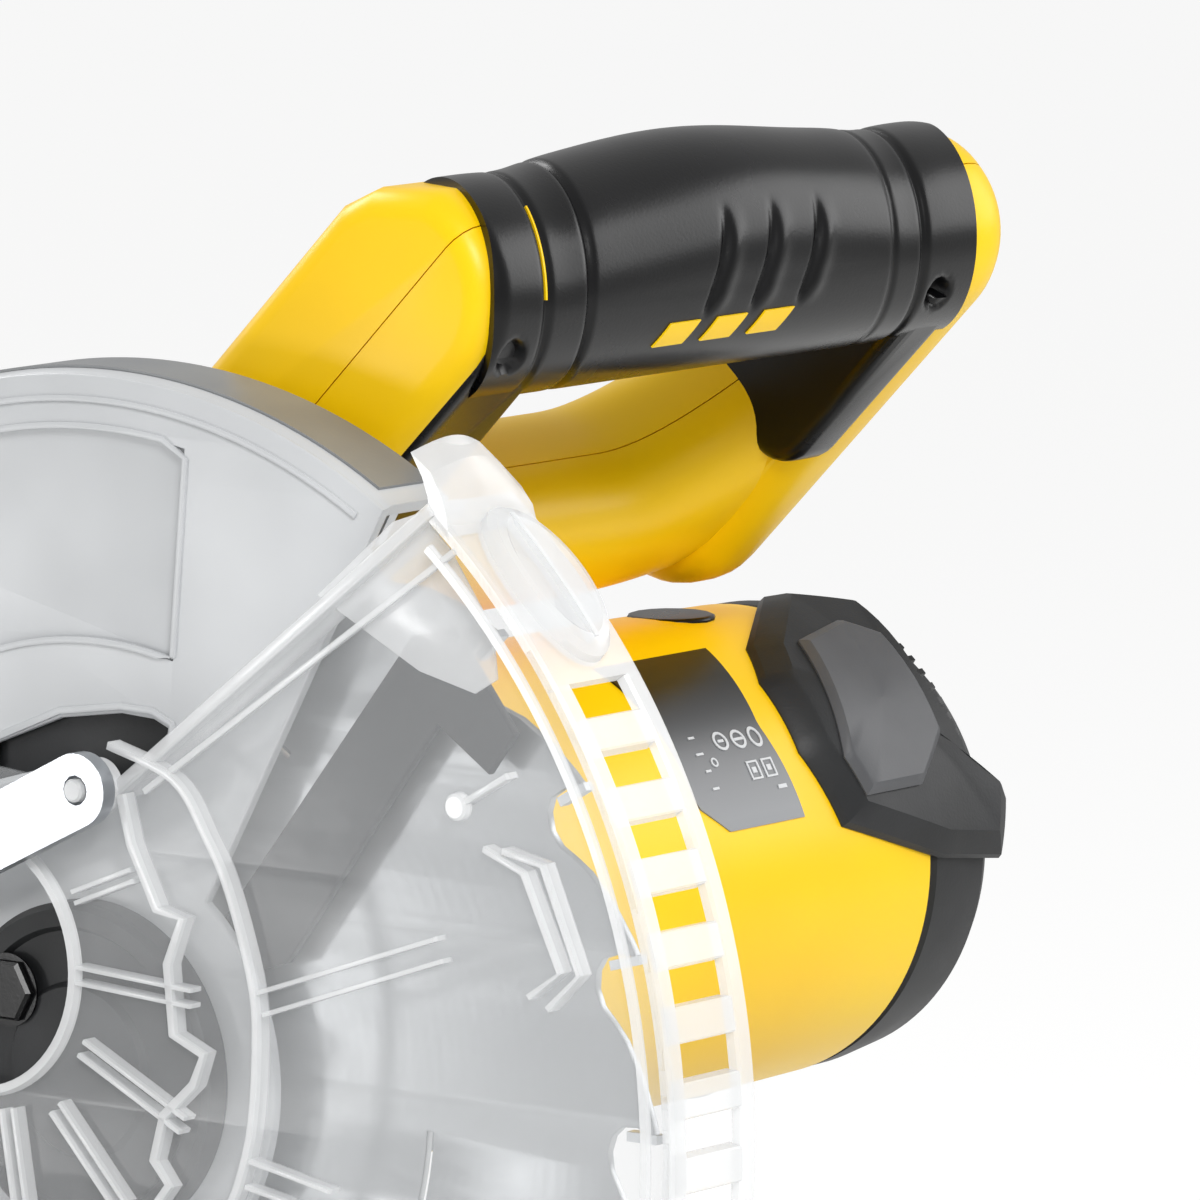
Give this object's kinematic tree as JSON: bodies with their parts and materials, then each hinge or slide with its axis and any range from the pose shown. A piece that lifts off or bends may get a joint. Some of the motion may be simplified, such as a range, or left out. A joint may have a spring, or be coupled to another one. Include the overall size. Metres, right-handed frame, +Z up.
{
  "type": "mitre saw",
  "caption": "Compound mitre saw: a sprung chop head with a clear blade guard and D-handle on a tilting bracket, over a swinging turntable.",
  "frame": {"origin": "on the bench, at the underside of the base under the turntable's pivot", "axes": "+Z up; the operator stands on the -Y side; +X towards the motor, with the blade in the plane X = 0"},
  "size_m": [0.48, 0.502, 0.5069],
  "materials": {
    "cast_alloy": "bead-blasted and clear coated",
    "yellow_abs": "satin moulded",
    "dark_nylon": "fine moulded texture",
    "black_rubber": "soft overmould",
    "guard_grey": "satin",
    "clear_polycarbonate": "clear moulded",
    "steel": "ground",
    "blade_steel": "ground, lacquered",
    "copper": "wound and machined",
    "laminated_iron": "stacked",
    "red_nylon": "moulded",
    "carbon": "pressed",
    "plate_film": "printed film"
  },
  "bodies": {
    "base": {"base_casting": "cast_alloy", "foot_1": "black_rubber", "foot_2": "black_rubber", "foot_3": "black_rubber", "foot_4": "black_rubber", "fence_left": "cast_alloy", "fence_right": "cast_alloy", "fence_bolt_left": "steel", "fence_bolt_right": "steel", "mitre_scale": "steel", "pivot_bolt": "steel"},
    "turntable": {"turntable": "cast_alloy", "kerf_plate": "dark_nylon", "bevel_pivot_bolt": "steel"},
    "mitre_knob": {"mitre_knob": "black_rubber"},
    "detent_lever": {"detent_lever": "dark_nylon"},
    "bevel_bracket": {"bevel_bracket": "cast_alloy", "chop_pivot_pin": "steel", "chop_spring": "steel"},
    "bevel_lock_lever": {"bevel_lock_lever": "dark_nylon"},
    "lock_down_pin": {"lock_down_pin": "black_rubber"},
    "head": {"head_arm": "cast_alloy", "upper_guard": "guard_grey", "hub_cover": "dark_nylon", "hub_cover_screw": "black_rubber", "dust_port": "dark_nylon", "spindle_bearing_front": "steel", "armature_bearing_front": "steel", "armature_bearing_rear": "steel", "field_core": "laminated_iron", "motor_housing": "yellow_abs", "brush_cap_1": "black_rubber", "brush_cap_2": "black_rubber", "carbon_brush_1": "carbon", "carbon_brush_2": "carbon", "motor_end_cap": "dark_nylon", "handle_shell_back": "yellow_abs", "handle_shell_front": "yellow_abs", "switch_block": "dark_nylon", "grip_sleeve": "black_rubber", "cord_gland": "black_rubber", "rating_plate": "plate_film", "carry_handle": "black_rubber"},
    "lower_guard": {"lower_guard": "clear_polycarbonate"},
    "guard_link": {"guard_link": "steel"},
    "blade": {"blade": "blade_steel", "flange_inner": "steel", "flange_outer": "steel", "blade_bolt": "steel", "spindle": "steel", "drive_gear": "steel"},
    "armature": {"armature_shaft": "steel", "armature_core": "copper", "commutator": "copper", "cooling_fan": "dark_nylon", "pinion": "steel"},
    "trigger": {"trigger": "red_nylon"},
    "lock_off_button": {"lock_off_button": "red_nylon"},
    "spindle_lock_button": {"spindle_lock_button": "black_rubber"}
  },
  "joints": [
    {"name": "mitre_swing", "type": "hinge", "parent": "base", "child": "turntable", "pos_m": [0, 0, 0.05], "axis": [0, 0, 1], "range_deg": [-47, 47]},
    {"name": "mitre_knob_turn", "type": "hinge", "parent": "turntable", "child": "mitre_knob", "pos_m": [0, -0.29, 0.062], "axis": [0, 1, 0], "range_deg": [0, 270]},
    {"name": "detent_lever_lift", "type": "hinge", "parent": "turntable", "child": "detent_lever", "pos_m": [0, -0.248, 0.036], "axis": [-1, 0, 0], "range_deg": [0, 5], "stiffness_Nm_per_rad": 2, "springref_deg": -5.73},
    {"name": "bevel_tilt", "type": "hinge", "parent": "turntable", "child": "bevel_bracket", "pos_m": [0, 0.166, 0.088], "axis": [0, -1, 0], "range_deg": [0, 45]},
    {"name": "bevel_lever_turn", "type": "hinge", "parent": "bevel_bracket", "child": "bevel_lock_lever", "pos_m": [0, 0.185, 0.088], "axis": [0, -1, 0], "range_deg": [0, 50]},
    {"name": "chop", "type": "hinge", "parent": "bevel_bracket", "child": "head", "pos_m": [0.022, 0.165, 0.18], "axis": [1, 0, 0], "range_deg": [0, 38], "stiffness_Nm_per_rad": 16, "springref_deg": -97.4},
    {"name": "guard_turn", "type": "hinge", "parent": "head", "child": "lower_guard", "pos_m": [-0.02, -0.004, 0.33], "axis": [-1, 0, 0], "range_deg": [0, 136.8]},
    {"name": "link_swing", "type": "hinge", "parent": "lower_guard", "child": "guard_link", "pos_m": [-0.026, -0.015, 0.386], "axis": [-1, 0, 0], "range_deg": [-156, 0]},
    {"name": "blade_spin", "type": "hinge", "parent": "head", "child": "blade", "pos_m": [0, -0.004, 0.33], "axis": [1, 0, 0], "continuous": true},
    {"name": "armature_spin", "type": "hinge", "parent": "head", "child": "armature", "pos_m": [0.1, -0.009, 0.3494], "axis": [1, 0, 0], "continuous": true},
    {"name": "trigger_pull", "type": "slide", "parent": "head", "child": "trigger", "axis": [0, -0.7071, 0.7071], "range_m": [0, 0.006], "stiffness_N_per_m": 600, "springref_m": -0.003},
    {"name": "lock_off_press", "type": "slide", "parent": "head", "child": "lock_off_button", "axis": [0, -0.7071, 0.7071], "range_m": [0, 0.004], "stiffness_N_per_m": 400, "springref_m": -0.002},
    {"name": "spindle_lock_press", "type": "slide", "parent": "head", "child": "spindle_lock_button", "axis": [0, -1, 0], "range_m": [0, 0.003], "stiffness_N_per_m": 500, "springref_m": -0.002},
    {"name": "lock_pin_pull", "type": "slide", "parent": "bevel_bracket", "child": "lock_down_pin", "axis": [-1, 0, 0], "range_m": [0, 0.006]}
  ],
  "couplings": [
    {"joint": "guard_turn", "follows": "chop", "ratio": 3.6},
    {"joint": "link_swing", "follows": "chop", "ratio": -4.1053},
    {"joint": "armature_spin", "follows": "blade_spin", "ratio": -5}
  ]
}
